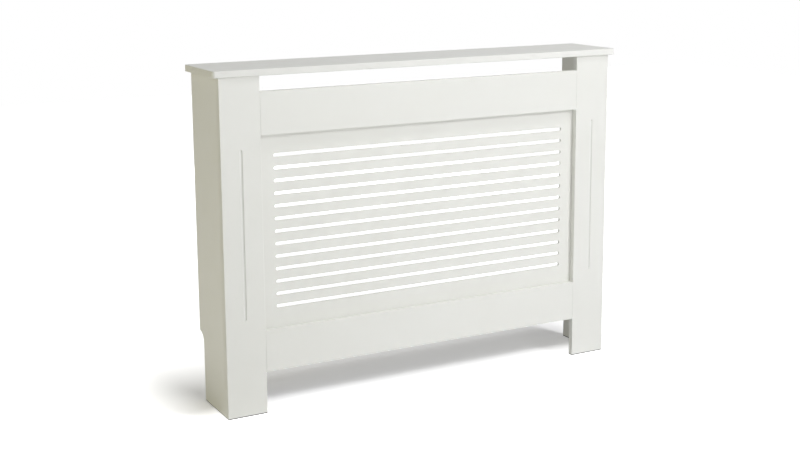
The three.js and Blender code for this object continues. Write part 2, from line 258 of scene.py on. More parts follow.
def cut(piece, cutter):
    boolean = piece.modifiers.new("cut", "BOOLEAN")
    boolean.operation = "DIFFERENCE"
    boolean.solver = "EXACT"
    boolean.object = cutter


def finish_board(piece, material, node, cutters=()):
    """Smooths the shading by face area, paints the board and puts it in its CAD node's place."""
    piece.data.shade_smooth()
    even = piece.modifiers.new("even shading", "WEIGHTED_NORMAL")
    even.mode = "FACE_AREA"
    even.weight = FLAT_FACE_WEIGHT
    settle(piece)
    for cutter in cutters:
        bpy.data.objects.remove(cutter)
    piece.data.materials.clear()
    piece.data.materials.append(material)
    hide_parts(node)
    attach(piece, "root")


def nodes_with(word):
    return [name for name in sorted(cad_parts) if word in name]


board_paint = satin_paint("satin_paint", PAINT, PAINT_SHADE, PEEL_SCALE, PEEL_HEIGHT)
cam_nodes = nodes_with("cam_lock")

for side, outward in (("left", -1), ("right", 1)):
    node = f"side_panel_{side}"
    low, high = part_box(node)
    notch_y = high.y - NOTCH_DEPTH
    inner_corner = (notch_y + NOTCH_RADIUS, NOTCH_HEIGHT - NOTCH_RADIUS)
    outline = [
        (low.y, low.z),
        (notch_y, low.z),
        *arc(inner_corner, NOTCH_RADIUS, 180, 90),
        (high.y, NOTCH_HEIGHT),
        (high.y, high.z),
        (low.y, high.z),
    ]
    panel = board(f"painted_side_{side}", outline, X, low.x, high.x)
    inner_x = low.x if outward > 0 else high.x
    cam_places = []
    for cam in cam_nodes:
        if side in cam:
            lock_low, lock_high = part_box(cam)
            middle = (lock_low + lock_high) / 2
            cam_places.append((inner_x, middle.y, middle.z))
    cutter = bore(cam_places, (outward, 0, 0), CAM_RADIUS + CAM_CLEARANCE, CAM_DEPTH + CAM_CLEARANCE)
    ease(panel, BOARD_EASE, BOARD_EASE_STEPS, BOARD_EASE_FROM)
    cut(panel, cutter)
    finish_board(panel, board_paint, node, [cutter])


# ---------------------------------------------------------------- pilasters
#
# The two legs in front: MDF boards from the floor to the shelf that cover the side panels' front
# edges, each with one flute down its middle. A ball-nosed cutter routed the flute, so its section
# and its two ends are round, and its rim is sanded before the paint.

FLUTE_WIDTH = 7 * MM
FLUTE_DEPTH = 3 * MM
FLUTE_INSET = 30 * MM
FLUTE_SIDES = 64
FLUTE_CAP_RINGS = 16
RIM_EASE = 0.4 * MM
RIM_EASE_STEPS = 3
RIM_EASE_FROM = 50

flute_radius = (FLUTE_WIDTH**2 / 4 + FLUTE_DEPTH**2) / (2 * FLUTE_DEPTH)
flute_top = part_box("top_rail")[0].z - FLUTE_INSET - FLUTE_WIDTH / 2
flute_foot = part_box("bottom_rail")[1].z + FLUTE_INSET + FLUTE_WIDTH / 2


def front_outline(low, high):
    """The corners of a box seen from the front."""
    return [(low.x, low.z), (high.x, low.z), (high.x, high.z), (low.x, high.z)]


def ball_nose_path(x, y):
    """The space that the cutter's round nose sweeps, upright between the flute's two ends."""
    shape = bmesh.new()
    sawn = shape.faces.layers.float.new("sawn_edge")
    bmesh.ops.create_uvsphere(
        shape,
        u_segments=FLUTE_SIDES,
        v_segments=2 * FLUTE_CAP_RINGS + 1,
        radius=flute_radius,
    )
    for vertex in shape.verts:
        vertex.co += Vector((x, y, flute_top if vertex.co.z > 0 else flute_foot))
    for face in shape.faces:
        face[sawn] = 1
    return show_shape("cutter", shape)


for side in ("left", "right"):
    node = f"pilaster_{side}"
    low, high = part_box(node)
    pilaster = board(f"fluted_pilaster_{side}", front_outline(low, high), Y, low.y, high.y)
    cutter = ball_nose_path((low.x + high.x) / 2, low.y + FLUTE_DEPTH - flute_radius)
    ease(pilaster, BOARD_EASE, BOARD_EASE_STEPS, BOARD_EASE_FROM)
    cut(pilaster, cutter)
    ease(pilaster, RIM_EASE, RIM_EASE_STEPS, RIM_EASE_FROM)
    finish_board(pilaster, board_paint, node, [cutter])


# ---------------------------------------------------------------- rails
#
# The upper and lower rail between the pilasters, MDF boards of the same thickness. Each end is
# butted and held with two dowels, and the eased edges leave a fine groove at every joint.

for node in ("top_rail", "bottom_rail"):
    low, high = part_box(node)
    rail = board(f"painted_{node}", front_outline(low, high), Y, low.y, high.y)
    ease(rail, BOARD_EASE, BOARD_EASE_STEPS, BOARD_EASE_FROM)
    finish_board(rail, board_paint, node)


# ---------------------------------------------------------------- grille panel
#
# A thin fibreboard sheet behind the frame, routed with thirteen long round-ended slots for the
# warm air and painted with the rest. It is screwed to the back of the rails and pilasters.

SLOT_COUNT = 13
SLOT_PITCH = 30.3 * MM
SLOT_HEIGHT = 8 * MM
SLOT_END_MARGIN = 36.5 * MM
SLOT_EASE = 0.45 * MM
SLOT_ARC_STEPS = 12
SLOT_ROUNDING = 0.4999
GRILLE_SEAM = 0.01 * MM
GRILLE_PAINT = (0.828, 0.830, 0.795, 1)
GRILLE_SHADE = (0.810, 0.812, 0.772, 1)
GRILLE_PEEL_SCALE = 760
GRILLE_PEEL_HEIGHT = 0.05 * MM
SOCKETS = {int: "NodeSocketInt", float: "NodeSocketFloat", bpy.types.Material: "NodeSocketMaterial"}


def start_tree(name, sizes):
    """A Geometry Nodes tree with a named input for each size, and the outputs that hand them out."""
    tree = bpy.data.node_groups.new(name, "GeometryNodeTree")
    tree.interface.new_socket("Geometry", in_out="OUTPUT", socket_type="NodeSocketGeometry")
    tree.interface.new_socket("Geometry", in_out="INPUT", socket_type="NodeSocketGeometry")
    for size, value in sizes.items():
        tree.interface.new_socket(size, in_out="INPUT", socket_type=SOCKETS[type(value)])
    return tree, tree.nodes.new("NodeGroupInput").outputs


def end_tree(tree, geometry, material):
    """Ends a tree: real geometry in one finish."""
    real = add_node(tree, "GeometryNodeRealizeInstances", {"Geometry": geometry})
    finish = {"Geometry": real.outputs["Geometry"], "Material": material}
    painted = add_node(tree, "GeometryNodeSetMaterial", finish)
    add_node(tree, "NodeGroupOutput", {"Geometry": painted.outputs["Geometry"]})


def grow(piece, tree, sizes):
    """Runs a tree on a piece with these sizes and keeps what it makes as the piece's mesh."""
    modifier = piece.modifiers.new("nodes", "NODES")
    modifier.node_group = tree
    for socket in tree.interface.items_tree:
        if socket.in_out == "INPUT" and socket.name in sizes:
            modifier[socket.identifier] = sizes[socket.name]
    settle(piece)


def vector(tree, x=0, y=0, z=0):
    node = add_node(tree, "ShaderNodeCombineXYZ", {"X": x, "Y": y, "Z": z})
    return node.outputs["Vector"]


def joined(tree, parts):
    return add_node(tree, "GeometryNodeJoinGeometry", {"Geometry": parts}).outputs["Geometry"]


def grille_tree(sizes):
    """A sheet in X and Z with a ladder of round-ended slots, its rear face at the rear Y."""
    tree, given = start_tree("slotted_sheet", sizes)
    sheet = add_node(
        tree,
        "GeometryNodeCurvePrimitiveQuadrilateral",
        {"Width": given["Width"], "Height": given["Height"]},
    )
    slot = add_node(
        tree,
        "GeometryNodeCurvePrimitiveQuadrilateral",
        {"Width": given["Slot length"], "Height": given["Slot height"]},
    )
    rounded = add_node(
        tree,
        "GeometryNodeFilletCurve",
        {
            "Curve": slot.outputs["Curve"],
            "Count": SLOT_ARC_STEPS,
            "Radius": calculate(tree, "MULTIPLY", given["Slot height"], SLOT_ROUNDING),
        },
        mode="POLY",
    )
    gaps = calculate(tree, "SUBTRACT", given["Slot count"], 1)
    ladder_height = calculate(tree, "MULTIPLY", gaps, given["Slot pitch"])
    ladder = add_node(
        tree,
        "GeometryNodeMeshLine",
        {
            "Count": given["Slot count"],
            "Start Location": vector(tree, y=calculate(tree, "MULTIPLY", ladder_height, -0.5)),
            "Offset": vector(tree, y=given["Slot pitch"]),
        },
    )
    slots = add_node(
        tree,
        "GeometryNodeInstanceOnPoints",
        {"Points": ladder.outputs["Mesh"], "Instance": rounded.outputs["Curve"]},
    )
    real_slots = add_node(
        tree,
        "GeometryNodeRealizeInstances",
        {"Geometry": slots.outputs["Instances"]},
    )
    face = add_node(
        tree,
        "GeometryNodeFillCurve",
        {"Curve": joined(tree, [sheet.outputs["Curve"], real_slots.outputs["Geometry"]])},
        mode="NGONS",
    ).outputs["Mesh"]
    raised = add_node(
        tree,
        "GeometryNodeExtrudeMesh",
        {"Mesh": face, "Offset": vector(tree, z=given["Thickness"]), "Individual": False},
    )
    walls = add_node(
        tree,
        "GeometryNodeStoreNamedAttribute",
        {"Geometry": raised.outputs["Mesh"], "Name": "sawn_edge", "Value": raised.outputs["Side"]},
        data_type="FLOAT",
        domain="FACE",
    )
    back = add_node(tree, "GeometryNodeFlipFaces", {"Mesh": face})
    merged = add_node(
        tree,
        "GeometryNodeMergeByDistance",
        {
            "Geometry": joined(tree, [walls.outputs["Geometry"], back.outputs["Mesh"]]),
            "Distance": GRILLE_SEAM,
        },
    )
    standing = add_node(
        tree,
        "GeometryNodeTransform",
        {
            "Geometry": merged.outputs["Geometry"],
            "Rotation": (math.radians(90), 0, 0),
            "Translation": vector(tree, given["Middle X"], given["Rear Y"], given["Middle Z"]),
        },
    )
    end_tree(tree, standing.outputs["Geometry"], given["Material"])
    return tree


low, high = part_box("grille_panel")
opening_left, opening_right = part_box("top_rail")[0].x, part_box("top_rail")[1].x
grille_paint = satin_paint(
    "satin_grille_paint",
    GRILLE_PAINT,
    GRILLE_SHADE,
    GRILLE_PEEL_SCALE,
    GRILLE_PEEL_HEIGHT,
)
grille_sizes = {
    "Width": high.x - low.x,
    "Height": high.z - low.z,
    "Thickness": high.y - low.y,
    "Middle X": (low.x + high.x) / 2,
    "Rear Y": high.y,
    "Middle Z": (low.z + high.z) / 2,
    "Slot count": SLOT_COUNT,
    "Slot pitch": SLOT_PITCH,
    "Slot height": SLOT_HEIGHT,
    "Slot length": opening_right - opening_left - 2 * SLOT_END_MARGIN,
    "Material": grille_paint,
}
grille = show("slotted_grille", bpy.data.meshes.new("slotted_grille"))
grow(grille, grille_tree(grille_sizes), grille_sizes)
ease(grille, SLOT_EASE, RIM_EASE_STEPS, RIM_EASE_FROM)
finish_board(grille, grille_paint, "grille_panel")


# ---------------------------------------------------------------- top shelf
#
# One MDF board that lies on the sides and pilasters and stands out past them at the front and both
# ends. Its four corners are rounded in plan and its long edges have a larger easing than the rest.

SHELF_CORNER_RADIUS = 8 * MM
SHELF_EASE = 1.7 * MM
SHELF_EASE_STEPS = 5

low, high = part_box("top_shelf")
left, right = low.x + SHELF_CORNER_RADIUS, high.x - SHELF_CORNER_RADIUS
front, rear = low.y + SHELF_CORNER_RADIUS, high.y - SHELF_CORNER_RADIUS
outline = [
    *arc((left, front), SHELF_CORNER_RADIUS, 180, 270),
    *arc((right, front), SHELF_CORNER_RADIUS, 270, 360),
    *arc((right, rear), SHELF_CORNER_RADIUS, 0, 90),
    *arc((left, rear), SHELF_CORNER_RADIUS, 90, 180),
]
shelf = board("rounded_shelf", outline, Z, low.z, high.z)
ease(shelf, SHELF_EASE, SHELF_EASE_STEPS, BOARD_EASE_FROM)
finish_board(shelf, board_paint, "top_shelf")


# ---------------------------------------------------------------- cam locks and their bolts
#
# Ten die-cast zinc cams sit in the side panels' inner faces. Each is turned with a cross-head driver
# and draws a plated steel bolt tight: six bolts stand in the pilasters and four in the shelf. A bolt
# has a coarse thread for the board, a plain shank, and a neck and head for the cam to grip.

CAM_CROSS_LENGTH = 9 * MM
CAM_CROSS_WIDTH = 1.6 * MM
CAM_CROSS_DEPTH = 2.5 * MM
BOLT_AXIS_DEPTH = 9 * MM
BOLT_REACH = 34 * MM
BOLT_THREAD_RADIUS = 3 * MM
BOLT_THREAD_LENGTH = 11 * MM
BOLT_THREAD_PITCH = 2.2 * MM
BOLT_SHANK_RADIUS = 3.2 * MM
BOLT_NECK_RADIUS = 1.9 * MM
BOLT_NECK_LENGTH = 5 * MM
BOLT_HEAD_RADIUS = 3.3 * MM
BOLT_HEAD_LENGTH = 3 * MM
BOLT_RIM_SHARE = 0.2
BOLT_TIP_SHARE = 0.5
BOLT_TIP_TURNS = 0.7
THREAD_START_TURNS = 0.5
THREAD_DEPTH_SHARE = 0.3
THREAD_CREST_SHARE = 0.25
THREAD_SIDES = 4
METAL_EASE = 0.25 * MM
METAL_SEAM = 0.001 * MM
ROUND_SIDES = 32
TURN_STEPS = 20
CREASE = math.radians(35)
CLOUD_SCALE = 160
GLOSS_SCALE = 420
GRAIN_SCALE = 2400
ZINC = (0.60, 0.60, 0.61, 1)
ZINC_SHADE = (0.47, 0.47, 0.49, 1)
ZINC_ROUGHNESS = (0.36, 0.5)
ZINC_GRAIN = 0.02 * MM
PLATED = (0.74, 0.74, 0.72, 1)
PLATED_SHADE = (0.60, 0.60, 0.58, 1)
PLATED_ROUGHNESS = (0.24, 0.36)
PLATED_GRAIN = 0.008 * MM


def worn_metal(name, colour, shade, roughness, grain):
    """Bare or plated metal: cloudy colour, patchy gloss and a fine grain."""
    material, tree, surface = start_material(name)
    surface.inputs["Metallic"].default_value = 1
    place = add_node(tree, "ShaderNodeTexCoord").outputs["Object"]
    clouds = spread(tree, noise(tree, place, CLOUD_SCALE, detail=3), 0, 1)
    feed(tree, surface.inputs["Base Color"], blend_colours(tree, clouds, colour, shade))
    patches = spread(tree, noise(tree, place, GLOSS_SCALE, detail=4), *roughness)
    feed(tree, surface.inputs["Roughness"], patches)
    grains = noise(tree, place, GRAIN_SCALE, detail=3)
    shade_relief(tree, surface, calculate(tree, "MULTIPLY", grains, grain))
    return material


def moved(tree, geometry, place):
    return add_node(
        tree,
        "GeometryNodeTransform",
        {"Geometry": geometry, "Translation": place},
    ).outputs["Geometry"]


def turned(tree, profile):
    """A closed round solid about Z through pairs of radius and height, from the bottom up."""
    parts = []
    for (lower, bottom), (upper, top) in zip(profile, profile[1:]):
        band = add_node(
            tree,
            "GeometryNodeMeshCone",
            {
                "Vertices": ROUND_SIDES,
                "Radius Bottom": lower,
                "Radius Top": upper,
                "Depth": calculate(tree, "SUBTRACT", top, bottom),
            },
            fill_type="NONE",
        )
        parts.append(moved(tree, band.outputs["Mesh"], vector(tree, z=bottom)))
    for (radius, level), faces_down in ((profile[0], True), (profile[-1], False)):
        disc = add_node(
            tree,
            "GeometryNodeMeshCircle",
            {"Vertices": ROUND_SIDES, "Radius": radius},
            fill_type="NGON",
        ).outputs["Mesh"]
        if faces_down:
            disc = add_node(tree, "GeometryNodeFlipFaces", {"Mesh": disc}).outputs["Mesh"]
        parts.append(moved(tree, disc, vector(tree, z=level)))
    return add_node(
        tree,
        "GeometryNodeMergeByDistance",
        {"Geometry": joined(tree, parts), "Distance": METAL_SEAM},
    ).outputs["Geometry"]


def block(tree, size, middle):
    cube = add_node(tree, "GeometryNodeMeshCube", {"Size": size})
    return moved(tree, cube.outputs["Mesh"], middle)


def hollowed(tree, body, tools):
    return add_node(
        tree,
        "GeometryNodeMeshBoolean",
        {"Mesh 1": body, "Mesh 2": tools},
        operation="DIFFERENCE",
        solver="EXACT",
    ).outputs["Mesh"]


def thread(tree, bottom_radius, top_radius, pitch, bottom, height):
    """A sharp ridge that winds up about Z with its crest at these radii."""
    crest = calculate(tree, "MULTIPLY", pitch, THREAD_CREST_SHARE)
    path = add_node(
        tree,
        "GeometryNodeCurveSpiral",
        {
            "Resolution": TURN_STEPS,
            "Rotations": calculate(tree, "DIVIDE", height, pitch),
            "Start Radius": calculate(tree, "SUBTRACT", bottom_radius, crest),
            "End Radius": calculate(tree, "SUBTRACT", top_radius, crest),
            "Height": height,
        },
    )
    level = add_node(
        tree,
        "GeometryNodeSetCurveNormal",
        {"Curve": path.outputs["Curve"]},
        mode="Z_UP",
    )
    ridge = add_node(
        tree,
        "GeometryNodeCurvePrimitiveCircle",
        {"Resolution": THREAD_SIDES, "Radius": crest},
    )
    wound = add_node(
        tree,
        "GeometryNodeCurveToMesh",
        {
            "Curve": level.outputs["Curve"],
            "Profile Curve": ridge.outputs["Curve"],
            "Fill Caps": True,
        },
    )
    return moved(tree, wound.outputs["Mesh"], vector(tree, z=bottom))


def stand_on_points(tree, given, shape):
    """Ends a tree with a shape on every point, its Z along the point's axis and its X to its side."""
    axis, side = (
        add_node(
            tree,
            "GeometryNodeInputNamedAttribute",
            {"Name": name},
            data_type="FLOAT_VECTOR",
        ).outputs["Attribute"]
        for name in ("axis", "side")
    )
    raised = add_node(tree, "FunctionNodeAlignRotationToVector", {"Vector": axis}, axis="Z")
    faced = add_node(
        tree,
        "FunctionNodeAlignRotationToVector",
        {"Rotation": raised.outputs["Rotation"], "Vector": side},
        axis="X",
        pivot_axis="Z",
    )
    own_place = add_node(tree, "GeometryNodeInputPosition").outputs["Position"]
    marked = add_node(
        tree,
        "GeometryNodeStoreNamedAttribute",
        {"Geometry": shape, "Name": "own_place", "Value": own_place},
        data_type="FLOAT_VECTOR",
        domain="POINT",
    )
    copies = add_node(
        tree,
        "GeometryNodeInstanceOnPoints",
        {
            "Points": given["Geometry"],
            "Instance": marked.outputs["Geometry"],
            "Rotation": faced.outputs["Rotation"],
        },
    )
    end_tree(tree, copies.outputs["Instances"], given["Material"])


def finish_fasteners(name, places, tree, sizes, nodes, rounded=False):
    """Grows a set of fasteners at their places and puts it in the place of their CAD nodes."""
    mesh = bpy.data.meshes.new(name)
    mesh.from_pydata([place for place, _, _ in places], [], [])
    for column, word in ((1, "axis"), (2, "side")):
        directions = mesh.attributes.new(word, "FLOAT_VECTOR", "POINT")
        directions.data.foreach_set("vector", [part for row in places for part in row[column]])
    piece = show(name, mesh)
    grow(piece, tree, sizes)
    if rounded:
        ease(piece, METAL_EASE, RIM_EASE_STEPS, RIM_EASE_FROM)
        settle(piece)
    piece.data.materials.clear()
    piece.data.materials.append(sizes["Material"])
    piece.data.shade_smooth()
    piece.data.set_sharp_from_angle(angle=CREASE)
    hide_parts(*nodes)
    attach(piece, "root")


def cam_lock_tree(sizes):
    """A cam below Z = 0 with a driver's cross, and room for the bolt open to its back and to +X."""
    tree, given = start_tree("cam_lock", sizes)
    radius, depth, axis_depth = given["Radius"], given["Depth"], given["Bolt axis depth"]
    back = calculate(tree, "MULTIPLY", depth, -1)
    body = turned(tree, [(radius, back), (radius, 0)])
    length, width = given["Cross length"], given["Cross width"]
    sunk = calculate(tree, "MULTIPLY", given["Cross depth"], 2)
    tools = [
        block(tree, vector(tree, length, width, sunk), (0, 0, 0)),
        block(tree, vector(tree, width, length, sunk), (0, 0, 0)),
    ]
    start = calculate(tree, "MULTIPLY", given["Clearance"], -1)
    for reach, room in (("Head length", "Head radius"), ("Radius", "Neck radius")):
        stop = calculate(tree, "ADD", given[reach], given["Clearance"])
        half = calculate(tree, "ADD", given[room], given["Clearance"])
        top = calculate(tree, "SUBTRACT", half, axis_depth)
        size = vector(
            tree,
            calculate(tree, "SUBTRACT", stop, start),
            calculate(tree, "MULTIPLY", half, 2),
            calculate(tree, "MULTIPLY", depth, 2),
        )
        middle = vector(
            tree,
            calculate(tree, "MULTIPLY", calculate(tree, "ADD", start, stop), 0.5),
            0,
            calculate(tree, "SUBTRACT", top, depth),
        )
        tools.append(block(tree, size, middle))
    stand_on_points(tree, given, hollowed(tree, body, tools))
    return tree


def cam_bolt_tree(sizes):
    """A bolt about Z: the joint at Z = 0, the thread below it, and the shank, neck and head above."""
    tree, given = start_tree("cam_bolt", sizes)
    crest, length, pitch = given["Thread radius"], given["Thread length"], given["Thread pitch"]
    reach, head = given["Reach"], given["Head radius"]
    shank, neck = given["Shank radius"], given["Neck radius"]
    core = calculate(tree, "SUBTRACT", crest, calculate(tree, "MULTIPLY", pitch, THREAD_DEPTH_SHARE))
    tip = calculate(tree, "MULTIPLY", core, BOLT_TIP_SHARE)
    bottom = calculate(tree, "MULTIPLY", length, -1)
    tip_top = calculate(tree, "ADD", bottom, calculate(tree, "MULTIPLY", pitch, BOLT_TIP_TURNS))
    head_foot = calculate(tree, "SUBTRACT", reach, given["Head length"])
    neck_foot = calculate(tree, "SUBTRACT", head_foot, given["Neck length"])
    rim = calculate(tree, "MULTIPLY", head, BOLT_RIM_SHARE)
    profile = [
        (tip, bottom),
        (core, tip_top),
        (core, 0),
        (shank, 0),
        (shank, neck_foot),
        (neck, neck_foot),
        (neck, head_foot),
        (head, head_foot),
        (head, calculate(tree, "SUBTRACT", reach, rim)),
        (calculate(tree, "SUBTRACT", head, rim), reach),
    ]
    start = calculate(tree, "ADD", bottom, calculate(tree, "MULTIPLY", pitch, THREAD_START_TURNS))
    wound = calculate(tree, "SUBTRACT", length, pitch)
    ridge = thread(tree, crest, crest, pitch, start, wound)
    stand_on_points(tree, given, joined(tree, [turned(tree, profile), ridge]))
    return tree


lock_places, bolt_places = [], []
for node in cam_nodes:
    low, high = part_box(node)
    middle = (low + high) / 2
    outward = 1 if middle.x > 0 else -1
    face_x = low.x if outward > 0 else high.x
    to_joint = Vector((0, -1, 0)) if node.startswith("pilaster") else Vector((0, 0, 1))
    lock_places.append(((face_x, middle.y, middle.z), (-outward, 0, 0), to_joint))
    cam_centre = Vector((face_x + outward * BOLT_AXIS_DEPTH, middle.y, middle.z))
    bolt_places.append((cam_centre + to_joint * BOLT_REACH, -to_joint, (1, 0, 0)))

lock_sizes = {
    "Radius": CAM_RADIUS,
    "Depth": CAM_DEPTH,
    "Cross length": CAM_CROSS_LENGTH,
    "Cross width": CAM_CROSS_WIDTH,
    "Cross depth": CAM_CROSS_DEPTH,
    "Bolt axis depth": BOLT_AXIS_DEPTH,
    "Head length": BOLT_HEAD_LENGTH,
    "Head radius": BOLT_HEAD_RADIUS,
    "Neck radius": BOLT_NECK_RADIUS,
    "Clearance": CAM_CLEARANCE,
    "Material": worn_metal("cast_zinc", ZINC, ZINC_SHADE, ZINC_ROUGHNESS, ZINC_GRAIN),
}
bolt_sizes = {
    "Thread radius": BOLT_THREAD_RADIUS,
    "Thread length": BOLT_THREAD_LENGTH,
    "Thread pitch": BOLT_THREAD_PITCH,
    "Shank radius": BOLT_SHANK_RADIUS,
    "Neck radius": BOLT_NECK_RADIUS,
    "Neck length": BOLT_NECK_LENGTH,
    "Head length": BOLT_HEAD_LENGTH,
    "Head radius": BOLT_HEAD_RADIUS,
    "Reach": BOLT_REACH,
    "Material": worn_metal("bright_plate", PLATED, PLATED_SHADE, PLATED_ROUGHNESS, PLATED_GRAIN),
}
finish_fasteners(
    "cam_locks",
    lock_places,
    cam_lock_tree(lock_sizes),
    lock_sizes,
    cam_nodes,
    rounded=True,
)
finish_fasteners(
    "cam_bolts",
    bolt_places,
    cam_bolt_tree(bolt_sizes),
    bolt_sizes,
    nodes_with("cam_bolt"),
)


# ---------------------------------------------------------------- dowels
#
# Sixteen beech dowels, glued into the rails' ends and into the joints between the sides, pilasters
# and shelf. Each is ribbed along its length to spread the glue, and chamfered at both ends.

DOWEL_RADIUS = 4 * MM
DOWEL_LENGTH = 30 * MM
DOWEL_CHAMFER = 1 * MM
DOWEL_RIBS = 24
DOWEL_RIB_HEIGHT = 0.25 * MM
BEECH = (0.62, 0.40, 0.21, 1)
BEECH_FLECK = (0.42, 0.24, 0.11, 1)
BEECH_ROUGHNESS = 0.7
STREAK_SCALE = 900
STREAK_SQUEEZE = 0.06
STREAK_RANGE = (0, 0.6)
STREAK_HEIGHT = 0.05 * MM
FLECK_SCALE = 3200
FLECK_SQUEEZE = 0.3
FLECK_RANGE = (-1.2, 0.9)


def noise_along_grain(tree, place, squeeze, scale, detail):
    stretched = add_node(tree, "ShaderNodeMapping", {"Vector": place, "Scale": (1, 1, squeeze)})
    return noise(tree, stretched.outputs["Vector"], scale, detail)


def ribbed_beech():
    """Beech seen along its grain: long soft streaks and short dark flecks."""
    material, tree, surface = start_material("ribbed_beech")
    surface.inputs["Roughness"].default_value = BEECH_ROUGHNESS
    place = add_node(tree, "ShaderNodeAttribute", attribute_name="own_place").outputs["Vector"]
    long_noise = noise_along_grain(tree, place, STREAK_SQUEEZE, STREAK_SCALE, detail=4)
    short_noise = noise_along_grain(tree, place, FLECK_SQUEEZE, FLECK_SCALE, detail=2)
    streaks = spread(tree, long_noise, *STREAK_RANGE)
    flecks = spread(tree, short_noise, *FLECK_RANGE)
    mark = calculate(tree, "MAXIMUM", streaks, flecks)
    feed(tree, surface.inputs["Base Color"], blend_colours(tree, mark, BEECH, BEECH_FLECK))
    shade_relief(tree, surface, calculate(tree, "MULTIPLY", streaks, STREAK_HEIGHT))
    return material


def dowel_tree(sizes):
    """A ribbed pin about Z with its middle at the origin."""
    tree, given = start_tree("dowel", sizes)
    core = calculate(tree, "SUBTRACT", given["Radius"], given["Rib height"])
    end = calculate(tree, "SUBTRACT", given["Radius"], given["Chamfer"])
    top = calculate(tree, "MULTIPLY", given["Length"], 0.5)
    bottom = calculate(tree, "MULTIPLY", given["Length"], -0.5)
    shoulder = calculate(tree, "SUBTRACT", top, given["Chamfer"])
    foot = calculate(tree, "ADD", bottom, given["Chamfer"])
    section = add_node(
        tree,
        "GeometryNodeCurveStar",
        {
            "Points": given["Ribs"],
            "Inner Radius": core,
            "Outer Radius": given["Radius"],
            "Twist": 0,
        },
    )
    line = add_node(
        tree,
        "GeometryNodeCurvePrimitiveLine",
        {"Start": vector(tree, z=foot), "End": vector(tree, z=shoulder)},
    )
    ribs = add_node(
        tree,
        "GeometryNodeCurveToMesh",
        {
            "Curve": line.outputs["Curve"],
            "Profile Curve": section.outputs["Curve"],
            "Fill Caps": True,
        },
    )
    pin = turned(tree, [(end, bottom), (core, foot), (core, shoulder), (end, top)])
    stand_on_points(tree, given, joined(tree, [pin, ribs.outputs["Mesh"]]))
    return tree


dowel_nodes = nodes_with("dowel")
dowel_places = []
for node in dowel_nodes:
    low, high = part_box(node)
    spans = list(high - low)
    longest = spans.index(max(spans))
    axis = [1 if i == longest else 0 for i in (X, Y, Z)]
    side = [1 if i == (longest + 1) % 3 else 0 for i in (X, Y, Z)]
    dowel_places.append(((low + high) / 2, axis, side))

dowel_sizes = {
    "Radius": DOWEL_RADIUS,
    "Length": DOWEL_LENGTH,
    "Chamfer": DOWEL_CHAMFER,
    "Ribs": DOWEL_RIBS,
    "Rib height": DOWEL_RIB_HEIGHT,
    "Material": ribbed_beech(),
}
finish_fasteners(
    "ribbed_dowels",
    dowel_places,
    dowel_tree(dowel_sizes),
    dowel_sizes,
    dowel_nodes,
)


# ---------------------------------------------------------------- wall brackets
#
# Two angles bent from galvanised steel strip, one inside each side panel at its rear edge. One leg
# is screwed to the panel, and the other lies against the wall, with a hole for the wall's screw.

BRACKET_THICKNESS = 2 * MM
BRACKET_BEND = 3 * MM
BRACKET_SCREW_PITCH = 18 * MM
BRACKET_SCREW_HOLE = 2.05 * MM
BRACKET_WALL_HOLE = 2.75 * MM
BEND_STEPS = 10
GALVANISED = (0.44, 0.445, 0.455, 1)
GALVANISED_SHADE = (0.37, 0.375, 0.385, 1)
GALVANISED_ROUGHNESS = (0.5, 0.68)
GALVANISED_GRAIN = 0.01 * MM

bracket_steel = worn_metal(
    "galvanised_steel",
    GALVANISED,
    GALVANISED_SHADE,
    GALVANISED_ROUGHNESS,
    GALVANISED_GRAIN,
)

for side, outward in (("left", -1), ("right", 1)):
    node = f"wall_bracket_{side}"
    low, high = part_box(node)
    corner, end = (high.x, low.x) if outward > 0 else (low.x, high.x)
    leg_x = corner - outward * BRACKET_THICKNESS
    leg_y = high.y - BRACKET_THICKNESS
    bend = (corner - outward * BRACKET_BEND, high.y - BRACKET_BEND)
    to_panel = 0 if outward > 0 else 180
    outline = [
        (end, high.y),
        *arc(bend, BRACKET_BEND, 90, to_panel, BEND_STEPS),
        (corner, low.y),
        (leg_x, low.y),
        *arc(bend, BRACKET_BEND - BRACKET_THICKNESS, to_panel, 90, BEND_STEPS),
        (end, leg_y),
    ]
    bracket = board(f"bent_bracket_{side}", outline, Z, low.z, high.z)
    hole_distance = (high.x - low.x + BRACKET_BEND) / 2
    middle_z = (low.z + high.z) / 2
    screw_places = [
        (leg_x, high.y - hole_distance, middle_z + step * BRACKET_SCREW_PITCH)
        for step in (-0.5, 0.5)
    ]
    wall_places = [(corner - outward * hole_distance, leg_y, middle_z)]
    through = BRACKET_THICKNESS + BORE_LEAD
    cutters = [
        bore(screw_places, (outward, 0, 0), BRACKET_SCREW_HOLE, through),
        bore(wall_places, (0, 1, 0), BRACKET_WALL_HOLE, through),
    ]
    for cutter in cutters:
        cut(bracket, cutter)
    ease(bracket, METAL_EASE, RIM_EASE_STEPS, RIM_EASE_FROM)
    finish_board(bracket, bracket_steel, node, cutters)


# ---------------------------------------------------------------- screws
#
# Plated chipboard screws with a domed head and a cross recess. Eight hold the grille panel to the
# back of the frame, and two hold each wall bracket to its side panel.

SCREW_HEAD_HEIGHT = 2.2 * MM
SCREW_TIP = 3 * MM
SCREW_PITCH = SCREW_TIP / 2
SCREW_POINT_SHARE = 0.12
SCREW_START_SHARE = 0.45
SCREW_CROSS_WIDTH = 1 * MM
SCREW_CROSS_DEPTH = 1.2 * MM
GRILLE_SCREW_RADIUS = 1.5 * MM
GRILLE_SCREW_LENGTH = 14 * MM
GRILLE_SCREW_HEAD = 3.2 * MM
BRACKET_SCREW_RADIUS = 1.75 * MM
BRACKET_SCREW_LENGTH = 15 * MM
BRACKET_SCREW_HEAD = 3.5 * MM
DOME_STEPS = 6
DOME_FOOT = 0.35
DOME_FULLNESS = 0.7
DOME_MIDDLE = 0.001


